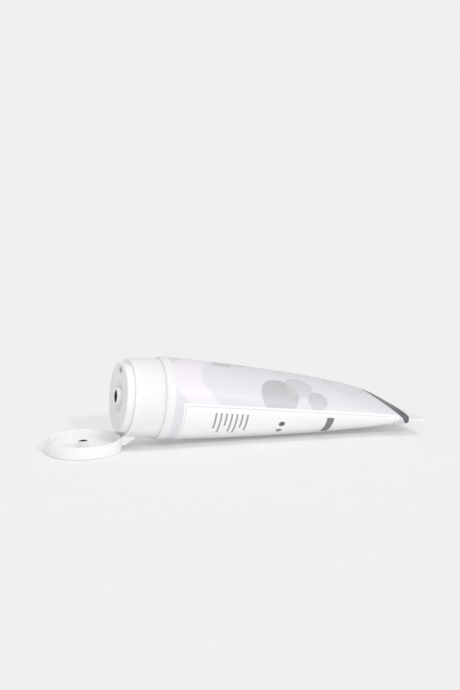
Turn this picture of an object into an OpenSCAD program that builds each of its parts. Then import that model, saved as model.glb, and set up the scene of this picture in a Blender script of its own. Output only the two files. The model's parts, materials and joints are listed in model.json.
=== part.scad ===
// Face wash tube lying on its side with its flip lid open, sizes in millimetres.
// The floor is z = 0, the tail points along +X and Y is the width of the crimp.

/* [Sleeve] */
// Outside diameter of the round end of the sleeve
sleeve_d = 40; // [32:1:50]
// Length of the sleeve from the cap to the end of the crimp
sleeve_l = 129.4; // [100:1:160]
// Length of the flat crimped band at the tail
crimp_l = 8.2; // [5:0.5:12]
// Thickness of the sleeve film
film_t = 0.5; // [0.3:0.05:0.8]
// Lengthwise fullness of the filled sleeve
belly_p = 1.1; // [0.9:0.05:2]
// Fullness of the sleeve next to the crimp
belly_q = 0.42; // [0.3:0.01:0.8]
// Lean of the tube's axis as it lies, in degrees
tilt = 6.8; // [0:0.1:9]

/* [Cap] */
// Unprinted margin between the cap and the printed area
margin_l = 4.2; // [2:0.2:8]
// How far the skirt's back edge lies inside the sleeve's outside radius
skirt_step = 0.9; // [0.4:0.1:2]
// How much narrower the skirt is in radius at its front edge
skirt_draft = 0.45; // [0:0.05:1]
// Length of the skirt
skirt_l = 14.8; // [10:0.2:20]
// Thickness of the cap's walls
wall_t = 1.2; // [0.8:0.05:1.6]
// Height of the collar above the ledge
collar_h = 3.57; // [2:0.1:5]
// Depth of the thumb flat in the collar
thumb_cut = 0.85; // [0.3:0.05:1.2]
// Radius of the outlet hole
outlet_r = 3; // [1.5:0.1:4]
// Thickness of the nozzle round the outlet
nozzle_t = 1.3; // [0.8:0.1:2]
// Height of the nozzle above the deck
nozzle_h = 1.38; // [0.5:0.1:2]
// Width of the round groove about the nozzle
groove_w = 3.5; // [2:0.1:5]
// Depth of the groove below the deck
groove_d = 1.97; // [1:0.1:2.5]

/* [Lid] */
// Height of the lid
lid_h = 6.25; // [5:0.05:8]
// Thickness of the lid's wall and top
lid_t = 1.15; // [0.8:0.05:1.6]
// How far the lid's wall lies inside the skirt's front edge
lid_step = 0.25; // [0.1:0.05:0.5]
// Gap between the shut lid's wall and the collar
lid_gap = 0.2; // [0.1:0.05:0.4]
// How far the plug stops short of the lid's rim
plug_drop = 1.15; // [0.5:0.05:2]
// Gap between the plug's tip and the outlet
plug_gap = 0.5; // [0.3:0.05:1]

/* [Neck and hinge] */
// Outside radius of the neck
neck_r = 8.6; // [7:0.1:10]
// Thickness of the neck and the shoulder
neck_t = 2.1; // [1:0.1:3]
// Height of the snap bead on the neck
bead_h = 0.4; // [0.2:0.05:0.6]
// Width of the hinge's middle strap
strap_w = 12; // [8:0.5:16]
// Thickness of the hinge's side webs
web_t = 1.6; // [0.6:0.1:2]
// How far each web reaches along the lid's wall
web_lid = 3.6; // [2:0.1:5]
// How far each web reaches along the skirt
web_skirt = 5.2; // [3:0.1:7]

/* [Hidden] */
$fn = 96;
// Points round each ring of the sleeve, and rings along it
around = 48;
rings = 22;
sleeve_r = sleeve_d / 2;
// Clearance that keeps neighbouring pieces apart
clear = 0.1;
// Radii that follow from the sleeve, from the outside in
skirt_r = sleeve_r - skirt_step;
mouth_r = skirt_r - skirt_draft;
lid_r = mouth_r - lid_step;
collar_r = lid_r - lid_t - lid_gap;
thumb_flat = collar_r - thumb_cut;
nozzle_r = outlet_r + nozzle_t;
groove_r = nozzle_r + groove_w;
stem_r = neck_r + 0.15;
// Rim of the shoulder inside the sleeve, its thickness and how far it reaches
weld_r = (sleeve_r - film_t) * cos(180 / around) - clear / 2;
weld_t = 0.95;
weld_s = 1.5;
plug_r = outlet_r - plug_gap;
plug_top = lid_h - plug_drop;
// The pivot of the lid, along the cap's axis and below it
pivot_s = -margin_l - skirt_l - 3 * clear;
pivot_r = mouth_r + clear / 2;
// Centre of the print edge above the floor, with the open lid flat on the floor
axis_z = lid_h - 0.1 + pivot_s * sin(tilt) + pivot_r * cos(tilt);
// Half of the whole length, which sets the origin in the middle
body_l = sleeve_l - margin_l;
pivot_dx = pivot_s * cos(tilt) - pivot_r * sin(tilt);
nose_x = pivot_dx - pivot_r - lid_r;
tail_x = body_l * cos(tilt) + film_t * sin(tilt);
axis_x = -(nose_x + tail_x) / 2;
pivot_x = axis_x + pivot_dx;
pivot_z = lid_h - 0.1;
lid_x = pivot_x - pivot_r;
// Planes along the cap's axis, negative towards the lid
back_s = -margin_l - clear;
ledge_s = back_s - skirt_l;
deck_s = ledge_s - collar_h;
nozzle_s = deck_s - nozzle_h;
stem_s = deck_s + groove_d + 1.3;
neck_top = stem_s + 0.8;
bead_s = back_s - 7.6;
// Filled part of the sleeve, up to the crimp
full_l = body_l - crimp_l;

// Perimeter of an ellipse, and the half width that keeps the round sleeve's perimeter
function perimeter(a, b) =
    let(h = pow((a - b) / (a + b), 2))
    PI * (a + b) * (1 + 3 * h / (10 + sqrt(4 - 3 * h)));
function half_width(b, low, high, n) =
    let(mid = (low + high) / 2)
    n == 0 ? mid
    : perimeter(mid, b) < 2 * PI * sleeve_r ? half_width(b, mid, high, n - 1)
    : half_width(b, low, mid, n - 1);
function half_height(u) =
    u <= 0 ? sleeve_r
    : min(sleeve_r, sleeve_r * pow(max(1 - pow(min(u, 1), belly_p), 0), belly_q) + film_t * min(u, 1));
function signed(v, e) = sign(v) * pow(abs(v), e);
// Position along the axis of ring i, closer together towards the crimp
function station(i) = full_l * (1 - pow(1 - i / (rings - 1), 1.8));

// One ring of the sleeve at s, set in by t, resting flat where it meets the floor
function ring(s, t) =
    let(
        u = s / full_l,
        b = half_height(u),
        a = half_width(b, sleeve_r * 0.9, sleeve_r * 1.58, 20) - t,
        e = u < 0.97 ? 1 : 1 - 0.75 * min((u - 0.97) / 0.03, 1)
    )
    [for (k = [0 : around - 1])
        let(
            y = a * signed(cos(360 * k / around), e),
            h = (b - t) * signed(sin(360 * k / around), e)
        )
        [
            axis_x + s * cos(tilt) + h * sin(tilt),
            y,
            max(axis_z - s * sin(tilt) + h * cos(tilt), t)
        ]
    ];
// Side faces between two neighbouring rings
function sides(first, flip) =
    [for (k = [0 : around - 1])
        let(
            n = (k + 1) % around,
            p = first + k,
            q = first + n,
            r = first + around + n,
            s = first + around + k
        )
        for (f = flip ? [[p, q, r], [p, r, s]] : [[p, r, q], [p, s, r]]) f
    ];
outer_s = concat([-margin_l, -margin_l / 2], [for (i = [0 : rings - 1]) station(i)], [body_l]);
inner_s = concat([-margin_l, -margin_l / 2], [for (i = [0 : rings - 3]) station(i)]);

module tube_sleeve() {
    n_out = len(outer_s);
    n_in = len(inner_s);
    start_in = n_out * around;
    points = concat(
        [for (s = outer_s) each ring(s, 0)],
        [for (s = inner_s) each ring(s, film_t)]
    );
    faces = concat(
        [for (i = [0 : n_out - 2]) each sides(i * around, false)],
        [for (i = [0 : n_in - 2]) each sides(start_in + i * around, true)],
        [[for (k = [around - 1 : -1 : 0]) (n_out - 1) * around + k]],
        [[for (k = [0 : around - 1]) start_in + (n_in - 1) * around + k]],
        [for (k = [0 : around - 1])
            let(n = (k + 1) % around)
            for (f = [[k, n, start_in + n], [k, start_in + n, start_in + k]]) f
        ]
    );
    color([0.88, 0.89, 0.91])
        polyhedron(points, faces, convexity = 4);
}

// Puts a shape drawn about Z, with s along Z, on the axis of the leaning tube
module on_axis() {
    translate([axis_x, 0, axis_z])
        rotate([0, 90 + tilt, 0])
            children();
}

module tube_shoulder() {
    rim_r = skirt_r - wall_t - 3 * clear;
    color([0.93, 0.93, 0.93])
        on_axis()
            rotate_extrude()
                polygon([
                    [weld_r - 2 * clear, weld_s],
                    [weld_r, -weld_s / 3],
                    [weld_r, -margin_l + 2 * clear],
                    [rim_r, -margin_l + 2 * clear],
                    [neck_r, back_s - 3.2],
                    [neck_r, bead_s + bead_h],
                    [neck_r + bead_h, bead_s],
                    [neck_r + bead_h, bead_s - 0.4],
                    [neck_r, bead_s - 0.4 - bead_h],
                    [neck_r, neck_top],
                    [neck_r - neck_t, neck_top],
                    [neck_r - neck_t, back_s - 1.7],
                    [weld_r - weld_t, -margin_l + 1.4],
                    [weld_r - weld_t, weld_s]
                ]);
}

module cap_base() {
    color([0.97, 0.97, 0.97])
        on_axis()
            difference() {
                rotate_extrude()
                    polygon([
                        [outlet_r, stem_s],
                        [outlet_r, nozzle_s + 0.45],
                        [outlet_r + 0.4, nozzle_s],
                        [nozzle_r - 0.25, nozzle_s],
                        [nozzle_r, nozzle_s + 0.25],
                        [nozzle_r, deck_s + groove_d],
                        [groove_r, deck_s + groove_d],
                        [groove_r, deck_s + 0.25],
                        [groove_r + 0.25, deck_s],
                        [collar_r - 1, deck_s],
                        [collar_r - 0.62, deck_s + 0.1],
                        [collar_r - 0.3, deck_s + 0.35],
                        [collar_r - 0.16, deck_s + 0.8],
                        [collar_r, ledge_s],
                        [mouth_r - 0.35, ledge_s],
                        [mouth_r - 0.1, ledge_s + 0.1],
                        [mouth_r, ledge_s + 0.35],
                        [skirt_r, back_s],
                        [skirt_r - wall_t, back_s],
                        [mouth_r - wall_t, ledge_s + wall_t + 0.2],
                        [collar_r - 1.45 * wall_t, ledge_s + wall_t],
                        [collar_r - 1.6 * wall_t, deck_s + wall_t + 0.05],
                        [stem_r + 1.55, deck_s + wall_t + 0.05],
                        [stem_r + 1.55, bead_s + 2.9],
                        [stem_r, bead_s + 2.9],
                        [stem_r, bead_s + bead_h + 0.2],
                        [stem_r + bead_h, bead_s + 0.2],
                        [stem_r + bead_h, bead_s - 0.6],
                        [stem_r, bead_s - 0.6 - bead_h],
                        [stem_r, stem_s]
                    ]);
                translate([-collar_r - clear, -collar_r, nozzle_s - 1])
                    cube([thumb_cut + clear, 2 * collar_r, collar_h + nozzle_h + 1]);
                catch_slot();
            }
}

// Small oval slot through the deck below the thumb flat
module catch_slot() {
    slot_r = 1.5;
    slot_x = (groove_r + collar_r) / 2 + 0.45;
    for (y = [-slot_r / 2, slot_r / 2])
        translate([-slot_x, y, deck_s - 1])
            cylinder(r = slot_r, h = wall_t + 2);
    translate([-slot_x - slot_r, -slot_r / 2, deck_s - 1])
        cube([2 * slot_r, slot_r, wall_t + 2]);
}

module flip_lid() {
    color([0.98, 0.98, 0.98])
        translate([lid_x, 0, 0])
            rotate_extrude()
                polygon([
                    [0, 0],
                    [lid_r - 1.5, 0],
                    [lid_r - 0.95, 0.1],
                    [lid_r - 0.5, 0.4],
                    [lid_r - 0.2, 0.85],
                    [lid_r - 0.15, 1.4],
                    [lid_r, lid_h - 0.15],
                    [lid_r - 0.15, lid_h],
                    [lid_r - lid_t + 0.1, lid_h],
                    [lid_r - lid_t, lid_h - 0.1],
                    [lid_r - lid_t - 0.15, lid_t + 0.6],
                    [lid_r - lid_t - 0.7, lid_t],
                    [plug_r + 0.2, lid_t],
                    [plug_r, plug_top - 0.15],
                    [plug_r - 0.15, plug_top],
                    [plug_r - 0.5, plug_top],
                    [plug_r - 0.55, lid_t],
                    [0, lid_t]
                ]);
}

// Film between the skirt and the lid: a strap in the middle and a web at each side
module living_hinge() {
    skin = 0.02;
    // How far the round walls fall back from the pivot at the outer faces of the webs
    web_y = strap_w / 2 + web_t - 1;
    fall = mouth_r - sqrt(mouth_r * mouth_r - web_y * web_y);
    color([0.96, 0.96, 0.96])
        difference() {
            translate([pivot_x, 0, pivot_z])
                rotate([90, 0, 0])
                    union() {
                        linear_extrude(height = strap_w, center = true)
                            polygon([
                                [-0.6 - fall / 2, -0.25],
                                [-0.6 - fall / 2, -1.5],
                                [0, -1.5],
                                [0.15, -0.75],
                                [0.6, -0.45],
                                [2.2, -0.65],
                                [2.2, fall],
                                [0, 0.3]
                            ]);
                        for (side = [-1, 1])
                            translate([0, 0, (web_y - web_t / 2) * side])
                                linear_extrude(height = web_t, center = true)
                                    polygon([
                                        [-0.6 - fall, 0],
                                        [-0.6 - fall, -web_lid],
                                        [-0.2, -web_lid],
                                        [web_skirt, -0.6],
                                        [web_skirt, fall + 0.2],
                                        [0.2, fall]
                                    ]);
                    }
            on_axis()
                translate([0, 0, ledge_s - lid_h])
                    cylinder(r = mouth_r + skin, h = lid_h);
            on_axis()
                translate([0, 0, ledge_s])
                    cylinder(r1 = mouth_r + skin, r2 = skirt_r + skin, h = skirt_l);
            translate([lid_x, 0, -1])
                cylinder(r1 = lid_r - 0.17, r2 = lid_r + skin, h = lid_h + 1);
            translate([lid_x, 0, lid_h])
                cylinder(r = lid_r + skin, h = lid_h);
        }
}

module face_wash_gel() {
    front_r = weld_r - weld_t - clear;
    first = concat([weld_s + 4 * clear], [for (i = [1 : rings - 4]) station(i)]);
    points = [for (s = first) each ring(s, film_t + clear)];
    last = (len(first) - 1) * around;
    faces = concat(
        [for (i = [0 : len(first) - 2]) each sides(i * around, false)],
        [[for (k = [around - 1 : -1 : 0]) last + k]],
        [[for (k = [0 : around - 1]) k]]
    );
    color([0.86, 0.93, 0.93]) {
        polyhedron(points, faces, convexity = 4);
        on_axis()
            rotate_extrude()
                polygon([
                    [0, weld_s + 8 * clear],
                    [front_r, weld_s + 8 * clear],
                    [front_r, -margin_l + 1.6],
                    [neck_r - neck_t - clear, back_s - 1.4],
                    [neck_r - neck_t - clear, neck_top + 2],
                    [0, neck_top + 2]
                ]);
    }
}

tube_sleeve();
tube_shoulder();
cap_base();
flip_lid();
living_hinge();
face_wash_gel();
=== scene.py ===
"""Face wash tube: the finish of every surface, the camera and the light."""
import json
from math import atan2, cos, pi, radians, sin, sqrt, tan

import bmesh
import bpy
import numpy as np
from mathutils import Matrix, Vector


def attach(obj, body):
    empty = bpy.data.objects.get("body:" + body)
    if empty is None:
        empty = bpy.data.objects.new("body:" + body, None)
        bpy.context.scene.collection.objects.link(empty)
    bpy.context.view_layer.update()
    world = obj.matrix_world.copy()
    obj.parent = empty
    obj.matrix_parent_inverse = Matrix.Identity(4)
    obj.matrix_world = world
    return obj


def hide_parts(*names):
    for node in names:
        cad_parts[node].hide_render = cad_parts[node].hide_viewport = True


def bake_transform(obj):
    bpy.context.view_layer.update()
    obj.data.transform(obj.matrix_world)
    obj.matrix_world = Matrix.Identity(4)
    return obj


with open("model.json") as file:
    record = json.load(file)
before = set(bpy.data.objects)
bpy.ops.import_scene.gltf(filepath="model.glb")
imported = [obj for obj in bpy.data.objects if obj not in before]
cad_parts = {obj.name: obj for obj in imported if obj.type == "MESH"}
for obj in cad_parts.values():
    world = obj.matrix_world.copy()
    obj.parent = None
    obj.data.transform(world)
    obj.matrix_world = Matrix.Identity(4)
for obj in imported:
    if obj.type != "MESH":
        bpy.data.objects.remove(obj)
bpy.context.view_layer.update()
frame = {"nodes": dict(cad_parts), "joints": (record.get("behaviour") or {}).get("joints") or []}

# Sizes are in millimetres. A name that ends in _S is a place along the tube's leaning axis, 0 where
# the print starts and growing towards the crimp. A name that ends in _R is a radius
MM = 0.001
MERGE = 0.0001 * MM

# The sleeve, as the solid has it
SLEEVE_R = 20.0
FILM_T = 0.5
MARGIN_L = 4.2
BODY_L = 125.2
CRIMP_L = 8.2
FULL_L = BODY_L - CRIMP_L
PERIMETER = 2 * pi * SLEEVE_R
# How the sleeve's height falls off towards the crimp, and how its section turns square there
BELLY_P = 1.1
BELLY_Q = 0.42
SQUARE_FROM = 0.97
SQUARE_BY = 0.75
# Its rounded front rim, and how far the skin goes on inside it
RIM_R = 0.8
RIM_L = 2.0
RIM_STEPS = 8
LIP_T = 0.14
INSIDE_S = 8.0
# Places where it is built, crowded towards the crimp by a power
BODY_STEPS = 110
BODY_CROWD = 1.8
CRIMP_STEPS = 8

# The cap
SKIRT_R = 19.1
MOUTH_R = 18.65
SKIRT_L = 14.8
WALL_T = 1.2
BACK_S = -MARGIN_L - 0.1
LEDGE_S = BACK_S - SKIRT_L
COLLAR_R = 17.05
COLLAR_H = 3.57
COLLAR_DRAFT = 0.17
DECK_S = LEDGE_S - COLLAR_H
DECK_T = 1.25
INSIDE_R = 15.1
THUMB_FLAT = 16.2
FACET_S = -15.0
FACET_SLOPE = 0.2
OUTLET_R = 3.0
NOZZLE_R = 4.3
NOZZLE_S = DECK_S - 1.38
GROOVE_R = 7.8
GROOVE_S = DECK_S + 1.97
GROOVE_SLOPE = 2.0
# The hidden inner collar that snaps on the neck, with its bead
STEM_R = 8.75
STEM_S = GROOVE_S + 1.3
STEM_T = 1.55
BEAD_S = BACK_S - 7.6
BEAD_H = 0.4
STEM_END_S = BEAD_S + 2.9
# The slot in the deck that catches the lid
SLOT_UP = 12.875
SLOT_R = 1.5
SLOT_STEPS = 32

# The lid
LID_R = 18.4
LID_H = 6.25
LID_T = 1.15
LID_DRAFT = 0.2
PLUG_R = 2.5
PLUG_TOP = 5.1
PLUG_T = 0.55

# The hinge's place in the frame gives the places of the tube's axis and of the lid
TILT = radians(6.8)
PIVOT = Vector(frame["joints"][0]["pos_m"]) / MM
PIVOT_S = -MARGIN_L - SKIRT_L - 0.3
PIVOT_R = MOUTH_R + 0.05
AXIS_X = PIVOT.x - PIVOT_S * cos(TILT) + PIVOT_R * sin(TILT)
AXIS_Z = PIVOT.z + PIVOT_S * sin(TILT) + PIVOT_R * cos(TILT)
LID_X = PIVOT.x - PIVOT_R
# The hinge film is cut into strips over this distance to each side of the pivot, this many strips to a
# side
HINGE_BEND = 1.0
HINGE_STRIPS = 4

# The print. v is the place round the sleeve: 0 on top, positive on the camera's side
PRINT_UNIT = 100.0
WAVE_S = 15.0
WAVE_HALF = 7.5
WAVE_SWING = 9.0
WAVE_TURN = 0.105
TAIL_S = 103.5
TAIL_ARCH = 9.0
PANEL_S = 4.4
PANEL_END_S = 112.0
PANEL_V = 29.6
BARS_S = 20.0
BARS_V = 33.5
BAR_PITCH = 2.6
BAR_T = 0.9
BAR_LENGTHS = (9.0, 12.0, 7.0, 11.0, 12.0, 8.0, 10.0)
CRIMP_PITCH = 0.9

# The light. The floor's tone is chosen so that the paper reads as the backdrop's level
BACKDROP = 240
AMBIENT = 0.64
FLOOR_SIZE = 12.0
FLOOR_TONE = 0.93
FLOOR_BOUNCE = 0.97
FLOOR_GLOW = 0.30
GLOW_TINT = (1.04, 1.0, 0.93)
SENSOR = 36.0


def on_axis(s, y, up):
    """A point s along the leaning axis, y across it and up from it."""
    return (AXIS_X + s * cos(TILT) + up * sin(TILT), y, AXIS_Z - s * sin(TILT) + up * cos(TILT))


def on_lid(z, y, x):
    """A point of the lid at height z, on the lid's upright axis."""
    return (LID_X + x, y, z)


def along_axis(x, z):
    """How far along the tube's axis a point lies."""
    return (x - AXIS_X) * cos(TILT) - (z - AXIS_Z) * sin(TILT)


def from_axis(x, y, z):
    """How far from the tube's axis a point lies."""
    return sqrt(y * y + ((x - AXIS_X) * sin(TILT) + (z - AXIS_Z) * cos(TILT)) ** 2)


# Meshes


def rounded(corners, steps=5):
    """The closed outline through corners (r, s, fillet), each corner rounded by its fillet."""
    out = []
    count = len(corners)
    for i, (r, s, fillet) in enumerate(corners):
        here = Vector((r, s))
        if fillet <= 0:
            out.append(here)
            continue
        back = Vector(corners[i - 1][:2]) - here
        ahead = Vector(corners[(i + 1) % count][:2]) - here
        half = back.angle(ahead) / 2
        reach = min(fillet / tan(half), back.length * 0.48, ahead.length * 0.48)
        radius = reach * tan(half)
        back.normalize()
        ahead.normalize()
        centre = here + (back + ahead).normalized() * radius / sin(half)
        first = here + back * reach - centre
        last = here + ahead * reach - centre
        start = atan2(first.y, first.x)
        turn = (atan2(last.y, last.x) - start + pi) % (2 * pi) - pi
        for k in range(steps + 1):
            a = start + turn * k / steps
            out.append(centre + radius * Vector((cos(a), sin(a))))
    return out


def smooth(mesh, angle=35.0):
    """Shades a mesh smooth, but for edges sharper than the angle."""
    mesh.polygons.foreach_set("use_smooth", [True] * len(mesh.polygons))
    mesh.set_sharp_from_angle(angle=radians(angle))


def clean(mesh):
    """Joins doubled points and turns the faces outwards."""
    work = bmesh.new()
    work.from_mesh(mesh)
    bmesh.ops.remove_doubles(work, verts=work.verts, dist=MERGE)
    bmesh.ops.recalc_face_normals(work, faces=work.faces)
    work.to_mesh(mesh)
    work.free()


def add_object(name, mesh, material):
    """An object in the scene with this mesh and material."""
    obj = bpy.data.objects.new(name, mesh)
    bpy.context.scene.collection.objects.link(obj)
    mesh.materials.append(material)
    return obj


def mesh_of(name, verts, faces):
    """A mesh from points in millimetres."""
    mesh = bpy.data.meshes.new(name)
    mesh.from_pydata([tuple(c * MM for c in v) for v in verts], [], faces)
    return mesh


def new_object(name, verts, faces, material):
    """An object from points in millimetres, cleaned and smooth."""
    mesh = mesh_of(name, verts, faces)
    clean(mesh)
    smooth(mesh)
    return add_object(name, mesh, material)


def lathe(name, outline, place, material, shape=None, around=192):
    """The outline (r, s) turned about an axis. shape may move a point (s, y, up) before it is placed."""
    verts = []
    for point in outline:
        for k in range(around):
            a = 2 * pi * k / around
            local = (point.y, point.x * cos(a), point.x * sin(a))
            if shape:
                local = shape(*local)
            verts.append(place(*local))
    rows = len(outline)
    faces = []
    for i in range(rows):
        for k in range(around):
            n = (k + 1) % around
            j = (i + 1) % rows
            faces.append((i * around + k, i * around + n, j * around + n, j * around + k))
    return new_object(name, verts, faces, material)


def shade_bore(obj, material, inside):
    """Paints shade into a bore: the faces whose centre is inside it get the second material, a dark
    painted shade for the hole's depth.
    """
    obj.data.materials.append(material)
    for face in obj.data.polygons:
        if inside(*(face.center / MM)):
            face.material_index = 1


# Materials


class Nodes:
    """Short ways to add nodes to one node tree."""

    def __init__(self, tree):
        self.tree = tree

    def add(self, kind, **settings):
        node = self.tree.nodes.new("ShaderNode" + kind)
        for key, value in settings.items():
            setattr(node, key, value)
        return node

    def put(self, socket, value):
        """Joins a socket to another one, or sets its value."""
        if isinstance(value, bpy.types.NodeSocket):
            self.tree.links.new(value, socket)
        else:
            socket.default_value = value

    def math(self, operation, a, b=0.0):
        node = self.add("Math", operation=operation)
        self.put(node.inputs[0], a)
        self.put(node.inputs[1], b)
        return node.outputs[0]

    def mix(self, factor, a, b):
        """Colour a where factor is 0, colour b where it is 1."""
        node = self.add("Mix", data_type="RGBA")
        self.put(node.inputs[0], factor)
        self.put(node.inputs[6], a)
        self.put(node.inputs[7], b)
        return node.outputs[2]

    def noise(self, place, scale, detail=2.0):
        node = self.add("TexNoise")
        self.put(node.inputs["Vector"], place)
        self.put(node.inputs["Scale"], scale)
        self.put(node.inputs["Detail"], detail)
        return node.outputs[0]

    def span(self, value, low, high, out_low=0.0, out_high=1.0):
        """value taken from low..high to out_low..out_high, clamped."""
        node = self.add("MapRange", clamp=True)
        for socket, number in zip(node.inputs, (value, low, high, out_low, out_high)):
            self.put(socket, number)
        return node.outputs[0]

    def bump(self, height, strength, distance):
        """A relief from a height, for a distance in millimetres."""
        node = self.add("Bump")
        self.put(node.inputs["Strength"], strength)
        self.put(node.inputs["Distance"], distance * MM)
        self.put(node.inputs["Height"], height)
        return node.outputs[0]

    def blend(self, factor, a, b):
        """Shader a where factor is 0, shader b where it is 1."""
        node = self.add("MixShader")
        self.put(node.inputs[0], factor)
        self.put(node.inputs[1], a)
        self.put(node.inputs[2], b)
        return node.outputs[0]


def make_material(name):
    """A material with its main shader, its output socket and short ways to add nodes."""
    material = bpy.data.materials.new(name)
    material.use_nodes = True
    tree = material.node_tree
    tree.nodes.clear()
    surface = tree.nodes.new("ShaderNodeOutputMaterial").inputs[0]
    shader = tree.nodes.new("ShaderNodeBsdfPrincipled")
    tree.links.new(shader.outputs[0], surface)
    return material, Nodes(tree), shader, surface


def grey(level, blue=0.0, red=0.0):
    """A linear colour near grey from its screen level of 0 to 255."""
    def linear(v):
        v = min(v, 255) / 255
        return v / 12.92 if v <= 0.04045 else ((v + 0.055) / 1.055) ** 2.4
    return (linear(level + red), linear(level), linear(level + blue), 1.0)


def moulded_plastic(name, level, roughness=0.38, through=0.4):
    """Polypropylene: a faint mottle in the colour, a fine satin grain and soft flow marks.

    level is its screen grey and through its translucence."""
    material, n, shader, _ = make_material(name)
    place = n.add("TexCoord").outputs["Object"]
    mottle = n.noise(place, scale=90.0, detail=3.0)
    colour = n.mix(n.span(mottle, 0.35, 0.65), grey(level - 1.5), grey(level + 1.5))
    gloss = n.noise(place, scale=420.0)
    flow = n.noise(place, scale=55.0)
    grain = n.noise(place, scale=3800.0)
    height = n.math("ADD", flow, n.math("MULTIPLY", grain, 0.06))
    n.put(shader.inputs["Base Color"], colour)
    n.put(shader.inputs["Roughness"], n.span(gloss, 0.3, 0.7, roughness - 0.05, roughness + 0.07))
    n.put(shader.inputs["Normal"], n.bump(height, strength=0.12, distance=0.25))
    n.put(shader.inputs["Subsurface Weight"], through)
    n.put(shader.inputs["Subsurface Radius"], (1.0, 0.95, 0.9))
    n.put(shader.inputs["Subsurface Scale"], 2.5 * MM)
    return material


def gel_material():
    """Clear aqua gel with a faint cloud in it."""
    material, n, shader, _ = make_material("clear_gel")
    place = n.add("TexCoord").outputs["Object"]
    cloud = n.span(n.noise(place, scale=60.0, detail=3.0), 0.3, 0.7)
    n.put(shader.inputs["Base Color"], n.mix(cloud, (0.70, 0.86, 0.86, 1), (0.78, 0.90, 0.90, 1)))
    n.put(shader.inputs["Roughness"], n.span(n.noise(place, scale=300.0), 0.3, 0.7, 0.05, 0.12))
    n.put(shader.inputs["Transmission Weight"], 0.6)
    n.put(shader.inputs["IOR"], 1.34)
    return material


class Print:
    """The print on the film. Each motif is laid over the colour so far."""

    def __init__(self, n, ground):
        """Reads the UV map print, which holds s and v in units of PRINT_UNIT millimetres."""
        self.n = n
        self.colour = ground
        split = n.add("SeparateXYZ")
        n.put(split.inputs[0], n.add("UVMap", uv_map="print").outputs[0])
        self.s = n.math("MULTIPLY", split.outputs[0], PRINT_UNIT)
        self.v = n.math("MULTIPLY", split.outputs[1], PRINT_UNIT)
        # The same on both sides of the sleeve
        self.both_v = n.math("ABSOLUTE", self.v)

    def lay(self, mask, colour, strength=1.0):
        """Lays a colour over the print where the mask is 1."""
        self.colour = self.n.mix(self.n.math("MULTIPLY", mask, strength), self.colour, colour)

    def past(self, value, edge, soft=0.12):
        """1 past the edge and 0 before it."""
        return self.n.span(value, edge - soft, edge + soft)

    def before(self, value, edge, soft=0.12):
        """1 before the edge and 0 past it."""
        return self.n.math("SUBTRACT", 1.0, self.past(value, edge, soft))

    def between(self, value, low, high, soft=0.12):
        return self.n.math("MULTIPLY", self.past(value, low, soft), self.before(value, high, soft))

    def line(self, value, half, soft):
        """1 where the value is near 0."""
        return self.n.math("SUBTRACT", 1.0, self.n.span(self.n.math("ABSOLUTE", value), half, soft))

    def distance(self, s, v):
        """How far each place is from (s, v) on the film."""
        n = self.n
        along = n.math("POWER", n.math("SUBTRACT", self.s, s), 2.0)
        across = n.math("POWER", n.math("SUBTRACT", self.v, v), 2.0)
        return n.math("SQRT", n.math("ADD", along, across))

    def disc(self, s, v, radius):
        return self.before(self.distance(s, v), radius, soft=0.15)

    def wave(self, colour):
        """A pale wave that runs round the sleeve."""
        n = self.n
        swing = n.math("MULTIPLY", n.math("SINE", n.math("MULTIPLY", self.v, WAVE_TURN)), WAVE_SWING)
        front = n.math("ADD", n.math("SUBTRACT", self.s, WAVE_S), swing)
        self.lay(self.between(front, -WAVE_HALF, WAVE_HALF, soft=0.35), colour, 0.85)

    def pebble(self, s, v, radius, level):
        """A round pebble that fades across."""
        fade = self.n.span(self.n.math("SUBTRACT", self.v, v), -radius, radius, 1.0, 0.55)
        self.lay(self.disc(s, v, radius), grey(level, blue=3), fade)

    def ring(self, s, v, radius):
        off = self.n.math("SUBTRACT", self.distance(s, v), radius)
        self.lay(self.line(off, 0.1, 0.4), grey(190, blue=3), 0.7)

    def dash(self, s, v, length, half=0.55):
        along = self.between(self.s, s, s + length)
        across = self.between(self.v, v - half, v + half)
        self.lay(self.n.math("MULTIPLY", along, across), grey(120, blue=4), 0.8)

    def tail(self, colour):
        """The dark field before the crimp, with an arched edge."""
        n = self.n
        bow = n.math("POWER", n.math("DIVIDE", self.both_v, 29.0), 2.0)
        arch = n.math("MULTIPLY", bow, TAIL_ARCH)
        self.lay(self.past(n.math("SUBTRACT", self.s, arch), TAIL_S, soft=0.25), colour)

    def panel(self, colour):
        """The white label panel on the underside, with a fine inset rule."""
        n = self.n
        along = self.between(self.s, PANEL_S, PANEL_END_S)
        label = n.math("MULTIPLY", self.past(self.both_v, PANEL_V), along)
        from_start = n.math("SUBTRACT", self.s, PANEL_S + 1.0)
        from_end = n.math("SUBTRACT", PANEL_END_S - 1.4, self.s)
        from_side = n.math("SUBTRACT", self.both_v, PANEL_V + 1.2)
        inset = n.math("MINIMUM", n.math("MINIMUM", from_start, from_end), from_side)
        self.lay(label, colour)
        self.lay(n.math("MULTIPLY", self.line(inset, 0.08, 0.3), label), grey(190), 0.55)

    def bar(self, s, v, thick, length, colour, strength=1.0):
        """A plain bar or block that runs round the tube, on both sides of the panel."""
        along = self.between(self.s, s, s + thick)
        across = self.between(self.both_v, v, v + length)
        self.lay(self.n.math("MULTIPLY", along, across), colour, strength)

    def dot(self, s, v, colour):
        self.lay(self.disc(s, v, radius=1.5), colour)


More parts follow.
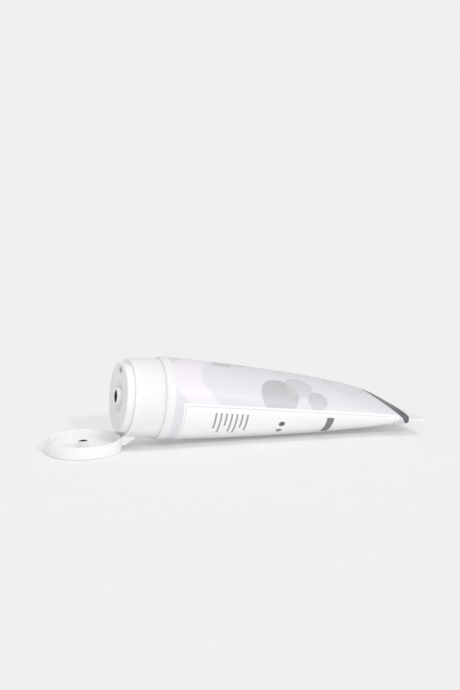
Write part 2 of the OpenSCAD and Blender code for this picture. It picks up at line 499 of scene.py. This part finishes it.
def printed_film():
    """The printed sleeve film."""
    material, n, shader, _ = make_material("printed_film")
    place = n.add("TexCoord").outputs["Object"]
    pearl = n.span(n.noise(place, scale=2600.0), 0.3, 0.7)
    design = Print(n, n.mix(pearl, grey(221, blue=4), grey(226, blue=5)))

    design.wave(grey(233, blue=7, red=5))
    design.pebble(s=52.0, v=23.0, radius=9.5, level=186)
    design.pebble(s=63.0, v=17.0, radius=7.0, level=204)
    design.pebble(s=71.0, v=25.0, radius=5.0, level=196)
    design.pebble(s=58.0, v=-16.0, radius=8.0, level=200)
    design.pebble(s=74.0, v=-8.0, radius=6.0, level=212)
    design.ring(s=90.0, v=8.0, radius=7.0)
    design.ring(s=90.0, v=8.0, radius=9.5)
    design.dash(s=22.0, v=-3.0, length=12.0)
    design.dash(s=22.0, v=0.5, length=18.0)
    design.dash(s=22.0, v=4.0, length=9.0)
    design.tail(grey(96, blue=4))

    # On the panel: bars of several lengths, a dark block and two small dots
    design.panel(grey(245, blue=1))
    for i, length in enumerate(BAR_LENGTHS):
        design.bar(BARS_S + i * BAR_PITCH, BARS_V, BAR_T, length, grey(105), strength=0.75)
    design.bar(s=76.0, v=33.0, thick=3.5, length=12.0, colour=grey(120, blue=3))
    design.dot(s=54.0, v=38.0, colour=grey(95))
    design.dot(s=54.0, v=43.0, colour=grey(150, blue=-25, red=-16.7))

    # Unprinted white margin at the cap and at the crimp
    design.lay(design.before(design.s, 0.0), grey(238, blue=1))
    design.lay(design.past(design.s, FULL_L - 0.2, soft=0.15), grey(246, blue=1))
    n.put(shader.inputs["Base Color"], design.colour)

    # Glossy film, softly uneven, with fine pressed lines across the crimp
    slack = n.noise(place, scale=34.0, detail=1.0)
    lines = n.math("SINE", n.math("MULTIPLY", design.s, 2 * pi / CRIMP_PITCH))
    pressed = n.math("MULTIPLY", lines, design.past(design.s, FULL_L + 0.6, soft=0.3))
    height = n.math("ADD", slack, n.math("MULTIPLY", pressed, 0.05))
    n.put(shader.inputs["Normal"], n.bump(height, strength=0.3, distance=0.5))
    n.put(shader.inputs["Roughness"], n.span(n.noise(place, scale=700.0), 0.3, 0.7, 0.38, 0.46))
    n.put(shader.inputs["Coat Weight"], 0.2)
    n.put(shader.inputs["Coat Roughness"], 0.3)
    return material


# The sleeve


def half_height(u):
    """The sleeve's half height at the share u of its way to the crimp."""
    if u <= 0:
        return SLEEVE_R
    u = min(u, 1)
    return min(SLEEVE_R, SLEEVE_R * max(1 - u ** BELLY_P, 0) ** BELLY_Q + FILM_T * u)


def ellipse_perimeter(a, b):
    h = ((a - b) / (a + b)) ** 2
    return pi * (a + b) * (1 + 3 * h / (10 + sqrt(4 - 3 * h)))


def half_width(b):
    """The half width that keeps the round sleeve's perimeter."""
    low, high = SLEEVE_R * 0.9, SLEEVE_R * 1.58
    for _ in range(30):
        middle = (low + high) / 2
        if ellipse_perimeter(middle, b) < PERIMETER:
            low = middle
        else:
            high = middle
    return (low + high) / 2


def sleeve_ring(s, inset, columns):
    """Points round the sleeve at s, from the underside over the far side and the top and back.

    The first point comes twice. The film lies flat where the round form would go below the surface."""
    u = s / FULL_L
    b = half_height(u)
    a = half_width(b) - inset
    square = min(max((u - SQUARE_FROM) / (1 - SQUARE_FROM), 0), 1)
    power = 1 - SQUARE_BY * square
    points = []
    for k in range(columns + 1):
        angle = -pi / 2 + 2 * pi * (k % columns) / columns
        c, h = cos(angle), sin(angle)
        y = a * (1 if c > 0 else -1) * abs(c) ** power
        up = (b - inset) * (1 if h > 0 else -1) * abs(h) ** power
        x, y, z = on_axis(s, y, up)
        points.append((x, y, max(z, inset)))
    return points


def sleeve_stations():
    """Places along the skin with their inset: inside the front rim, round it and on to the crimp."""
    lip = SLEEVE_R - SKIRT_R - 0.05
    lip_s = -MARGIN_L + LIP_T
    inside = [(INSIDE_S, FILM_T), (0.0, FILM_T), (lip_s, FILM_T), (lip_s, lip), (BACK_S, lip)]
    rim = []
    for k in range(RIM_STEPS + 1):
        turn = k * pi / (2 * RIM_STEPS)
        rim.append((-MARGIN_L + RIM_L * (1 - cos(turn)), RIM_R * (1 - sin(turn))))
    margin = [(-MARGIN_L / 2, 0.0)]
    body = [(FULL_L * (1 - (1 - i / BODY_STEPS) ** BODY_CROWD), 0.0) for i in range(BODY_STEPS + 1)]
    crimp = [(FULL_L + CRIMP_L * k / CRIMP_STEPS, 0.0) for k in range(1, CRIMP_STEPS + 1)]
    return inside + rim + margin + body + crimp


def build_sleeve(material, columns=256):
    """The film: its outside, its front rim and the strip of its inside behind the cap."""
    stations = sleeve_stations()
    width = columns + 1
    verts = []
    prints = []
    for s, inset in stations:
        ring = sleeve_ring(s, inset, columns)
        arcs = [0.0]
        for here, ahead in zip(ring, ring[1:]):
            arcs.append(arcs[-1] + (Vector(ahead) - Vector(here)).length)
        verts += ring
        prints += [(s / PRINT_UNIT, (arc / arcs[-1] - 0.5) * PERIMETER / PRINT_UNIT) for arc in arcs]
    faces = []
    for i in range(len(stations) - 1):
        for k in range(columns):
            first, second = i * width + k, (i + 1) * width + k
            faces.append((first, first + 1, second + 1, second))
    faces.append(tuple((len(stations) - 1) * width + k for k in range(columns)))

    mesh = mesh_of("sleeve_skin", verts, faces)
    layer = mesh.uv_layers.new(name="print")
    corners = np.zeros(len(mesh.loops), np.int32)
    mesh.loops.foreach_get("vertex_index", corners)
    layer.data.foreach_set("uv", np.array(prints, np.float32)[corners].ravel())
    clean(mesh)
    smooth(mesh, angle=40)
    skin = add_object("sleeve_skin", mesh, material)
    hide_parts("tube_sleeve")
    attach(skin, "tube")


# The cap, the lid and the hinge


def skirt_at(s):
    """The skirt's outer radius at s."""
    return MOUTH_R + (SKIRT_R - MOUTH_R) * (s - LEDGE_S) / (BACK_S - LEDGE_S)


def cap_outline():
    """Half the cap's section, from the outlet over the deck and the skirt to the hidden inner collar."""
    outlet = [
        (OUTLET_R, STEM_S, 0.1),
        (OUTLET_R, NOZZLE_S, 0.45),
        (NOZZLE_R, NOZZLE_S, 0.35),
        (NOZZLE_R, GROOVE_S, 0.3),
        (GROOVE_R - GROOVE_SLOPE, GROOVE_S, 0.5),
        (GROOVE_R, DECK_S, 0.3),
    ]
    outside = [
        (COLLAR_R - COLLAR_DRAFT, DECK_S, 0.8),
        (COLLAR_R, LEDGE_S, 0.12),
        (MOUTH_R, LEDGE_S, 0.35),
        (skirt_at(FACET_S - 1.0), FACET_S - 1.0, 0.0),
        (skirt_at(FACET_S), FACET_S, 0.0),
        (SKIRT_R, BACK_S, 0.05),
    ]
    inside = [
        (SKIRT_R - WALL_T, BACK_S, 0.18),
        (MOUTH_R - WALL_T, LEDGE_S + 1.3, 0.5),
        (INSIDE_R, LEDGE_S + WALL_T, 0.3),
        (INSIDE_R, DECK_S + DECK_T, 0.4),
    ]
    stem = [
        (STEM_R + STEM_T, DECK_S + DECK_T, 0.3),
        (STEM_R + STEM_T, STEM_END_S, 0.2),
        (STEM_R, STEM_END_S, 0.1),
        (STEM_R, BEAD_S + 0.6, 0.0),
        (STEM_R + BEAD_H, BEAD_S + 0.2, 0.1),
        (STEM_R + BEAD_H, BEAD_S - 0.6, 0.1),
        (STEM_R, BEAD_S - 1.0, 0.0),
        (STEM_R, STEM_S, 0.2),
    ]
    return rounded(outlet + outside + inside + stem)


def thumb(s, y, up):
    """Cuts the flat on the collar and the facet on the skirt where a thumb lifts the lid."""
    if s < LEDGE_S + 0.05 and sqrt(y * y + up * up) < COLLAR_R + 0.02:
        return (s, y, min(up, THUMB_FLAT))
    if s < FACET_S:
        return (s, y, min(up, skirt_at(FACET_S) + FACET_SLOPE * (s - FACET_S)))
    return (s, y, up)


def cut_slot(cap, material):
    """Cuts the catch slot through the deck."""
    verts = []
    for s in (DECK_S - 1.0, DECK_S + 2.2):
        for k in range(SLOT_STEPS):
            a = 2 * pi * k / SLOT_STEPS
            y = SLOT_R * cos(a) + (SLOT_R / 2 if cos(a) > 0 else -SLOT_R / 2)
            verts.append(on_axis(s, y, SLOT_UP + SLOT_R * sin(a)))
    faces = []
    for k in range(SLOT_STEPS):
        n = (k + 1) % SLOT_STEPS
        faces.append((k, n, SLOT_STEPS + n, SLOT_STEPS + k))
    faces += [tuple(range(SLOT_STEPS)), tuple(range(SLOT_STEPS, 2 * SLOT_STEPS))]
    cutter = new_object("slot_cutter", verts, faces, material)
    cut = cap.modifiers.new("slot", "BOOLEAN")
    cut.operation = "DIFFERENCE"
    cut.object = cutter
    cut.solver = "EXACT"
    bpy.context.view_layer.update()
    graph = bpy.context.evaluated_depsgraph_get()
    baked = bpy.data.meshes.new_from_object(cap.evaluated_get(graph))
    cap.modifiers.clear()
    cap.data = baked
    smooth(baked)
    bpy.data.objects.remove(cutter)


def build_cap(material, bore):
    """The cap's base, turned, with its thumb flat and facet and its catch slot."""
    def in_outlet(x, y, z):
        return along_axis(x, z) > NOZZLE_S + 0.5 and from_axis(x, y, z) < OUTLET_R + 0.1

    cap = lathe("cap_shell", cap_outline(), on_axis, material, shape=thumb)
    cut_slot(cap, material)
    # The outlet's inner faces get painted shade, a dark grey where the deep hole falls into shade
    shade_bore(cap, bore, in_outlet)
    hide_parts("cap_base")
    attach(cap, "tube")


def build_lid(material, bore):
    """The open lid, a turned cup with the hollow plug standing in it."""
    def in_plug(x, y, z):
        return 0.5 < z < PLUG_TOP - 0.2 and sqrt((x - LID_X) ** 2 + y * y) < PLUG_R - 0.5

    outline = rounded([
        (0.0, 0.0, 0.0),
        (LID_R - LID_DRAFT, 0.0, 0.8),
        (LID_R, LID_H, 0.22),
        (LID_R - LID_T, LID_H, 0.3),
        (LID_R - LID_T - 0.15, LID_T, 0.75),
        (PLUG_R + LID_DRAFT, LID_T, 0.3),
        (PLUG_R, PLUG_TOP, 0.25),
        (PLUG_R - PLUG_T, PLUG_TOP, 0.2),
        (PLUG_R - PLUG_T, LID_T, 0.15),
        (0.0, LID_T, 0.0),
    ])
    lid = lathe("lid_shell", outline, on_lid, material)
    # The plug's inner faces get painted shade, a dark grey where the deep hole falls into shade
    shade_bore(lid, bore, in_plug)
    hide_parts("flip_lid")
    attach(lid, "lid")


def build_hinge(material):
    """The film hinge in the solid's own form, cut into strips at the pivot."""
    mesh = frame["nodes"]["living_hinge"].data.copy()
    work = bmesh.new()
    work.from_mesh(mesh)
    bmesh.ops.remove_doubles(work, verts=work.verts, dist=MERGE)
    for k in range(-HINGE_STRIPS, HINGE_STRIPS + 1):
        cut = (PIVOT + Vector((HINGE_BEND * k / HINGE_STRIPS, 0.0, 0.0))) * MM
        whole = work.verts[:] + work.edges[:] + work.faces[:]
        bmesh.ops.bisect_plane(work, geom=whole, plane_co=cut, plane_no=(1.0, 0.0, 0.0))
    bmesh.ops.recalc_face_normals(work, faces=work.faces)
    work.to_mesh(mesh)
    work.free()
    mesh.materials.clear()
    film = add_object("hinge_film", mesh, material)
    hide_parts("living_hinge")
    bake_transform(film)


# Camera, stage and light


def build_camera():
    """The camera where the photograph was taken from."""
    azimuth, elevation, roll = radians(-19.11), radians(10.43), radians(-0.48)
    distance, focal_px, frame_px = 0.68256, 1400.0, 690.0
    target = Vector((0.00133, 0.0, 0.04616))
    back = Vector((sin(azimuth) * cos(elevation), -cos(azimuth) * cos(elevation), sin(elevation)))
    level = Vector((cos(azimuth), sin(azimuth), 0.0))
    above = level.cross(-back)
    right = cos(roll) * level + sin(roll) * above
    up = cos(roll) * above - sin(roll) * level
    data = bpy.data.cameras.new("camera")
    data.sensor_width = SENSOR
    data.lens = focal_px * SENSOR / frame_px
    data.clip_end = 100.0
    camera = bpy.data.objects.new("camera", data)
    turn = Matrix((right, up, back)).transposed().to_4x4()
    camera.matrix_world = Matrix.Translation(target + back * distance) @ turn
    bpy.context.scene.collection.objects.link(camera)
    bpy.context.scene.camera = camera


def floor_paper():
    """Pale paper that glows a little for the camera alone, which keeps the shadows on it light and warm.

    Its own colour leans the other way, so that the lit paper is neutral."""
    material, n, shader, surface = make_material("studio_floor")
    camera_ray = n.add("LightPath").outputs["Is Camera Ray"]
    place = n.add("TexCoord").outputs["Object"]
    paper = n.span(n.noise(place, scale=30.0), 0.3, 0.7)
    tone = [FLOOR_TONE * (1 - FLOOR_GLOW * tint) / (1 - FLOOR_GLOW) for tint in GLOW_TINT]
    darker, lighter = [[c * share for c in tone] + [1.0] for share in (0.998, 1.002)]
    white = [FLOOR_BOUNCE] * 3 + [1.0]
    n.put(shader.inputs["Base Color"], n.mix(camera_ray, white, n.mix(paper, darker, lighter)))
    n.put(shader.inputs["Roughness"], 0.9)
    n.put(shader.inputs["Specular IOR Level"], 0.0)
    glow = n.add("Emission")
    n.put(glow.inputs[0], [c * tint for c, tint in zip(grey(BACKDROP), GLOW_TINT)] + [1.0])
    share = n.math("MULTIPLY", camera_ray, FLOOR_GLOW)
    n.put(surface, n.blend(share, shader.outputs[0], glow.outputs[0]))
    return material


def build_stage():
    """A plain pale floor that fades into a background of the same grey."""
    ends = (-FLOOR_SIZE, FLOOR_SIZE)
    mesh = bpy.data.meshes.new("studio_floor")
    mesh.from_pydata([(x, y, 0) for x in ends for y in ends], [], [(0, 2, 3, 1)])
    floor = add_object("studio_floor", mesh, floor_paper())


def add_sun(name, azimuth, elevation, level, spread):
    """A far lamp. Azimuth 0 is along +X and -90 in front.

    level is what it adds to a white wall that faces it, and spread is its width in degrees."""
    data = bpy.data.lights.new(name, "SUN")
    data.energy = pi * level
    data.angle = radians(spread)
    lamp = bpy.data.objects.new(name, data)
    side, rise = radians(azimuth), radians(elevation)
    direction = Vector((cos(rise) * cos(side), cos(rise) * sin(side), sin(rise)))
    lamp.rotation_euler = direction.to_track_quat("Z", "Y").to_euler()
    lamp.location = direction
    bpy.context.scene.collection.objects.link(lamp)


def build_light():
    """An even surround, a key in front to the right, a higher lamp and a low one, both in front."""
    world = bpy.data.worlds.new("studio")
    bpy.context.scene.world = world
    world.use_nodes = True
    world.node_tree.nodes.clear()
    n = Nodes(world.node_tree)
    light = n.add("Background")
    n.put(light.inputs[0], (1.0, 1.0, 1.0, 1.0))
    n.put(light.inputs[1], AMBIENT)
    seen = n.add("Background")
    n.put(seen.inputs[0], grey(BACKDROP))
    n.put(seen.inputs[1], 1.0)
    camera_ray = n.add("LightPath").outputs["Is Camera Ray"]
    n.put(n.add("OutputWorld").inputs[0], n.blend(camera_ray, light.outputs[0], seen.outputs[0]))
    add_sun("key", azimuth=-78, elevation=33, level=0.20, spread=4.0)
    add_sun("high", azimuth=-88, elevation=68, level=0.20, spread=10.0)
    add_sun("low_front", azimuth=-92, elevation=4, level=0.08, spread=10.0)


bpy.context.scene.view_settings.view_transform = "Standard"

white_plastic = moulded_plastic("cap_white", 243)
shoulder_plastic = moulded_plastic("shoulder_natural", 238, roughness=0.45)
# Painted shade for the deep holes: the outlet and the plug are the same white plastic, and this dark
# grey stands in for the shade inside them
painted_bore_shade = moulded_plastic("painted_bore_shade", 70, roughness=0.6, through=0.0)
film = printed_film()
gel = gel_material()

build_camera()
build_sleeve(film)
build_cap(white_plastic, painted_bore_shade)
build_lid(white_plastic, painted_bore_shade)
build_hinge(white_plastic)
for node, material in (("tube_shoulder", shoulder_plastic), ("face_wash_gel", gel)):
    solid = frame["nodes"][node]
    solid.data.materials.clear()
    solid.data.materials.append(material)
build_stage()
build_light()
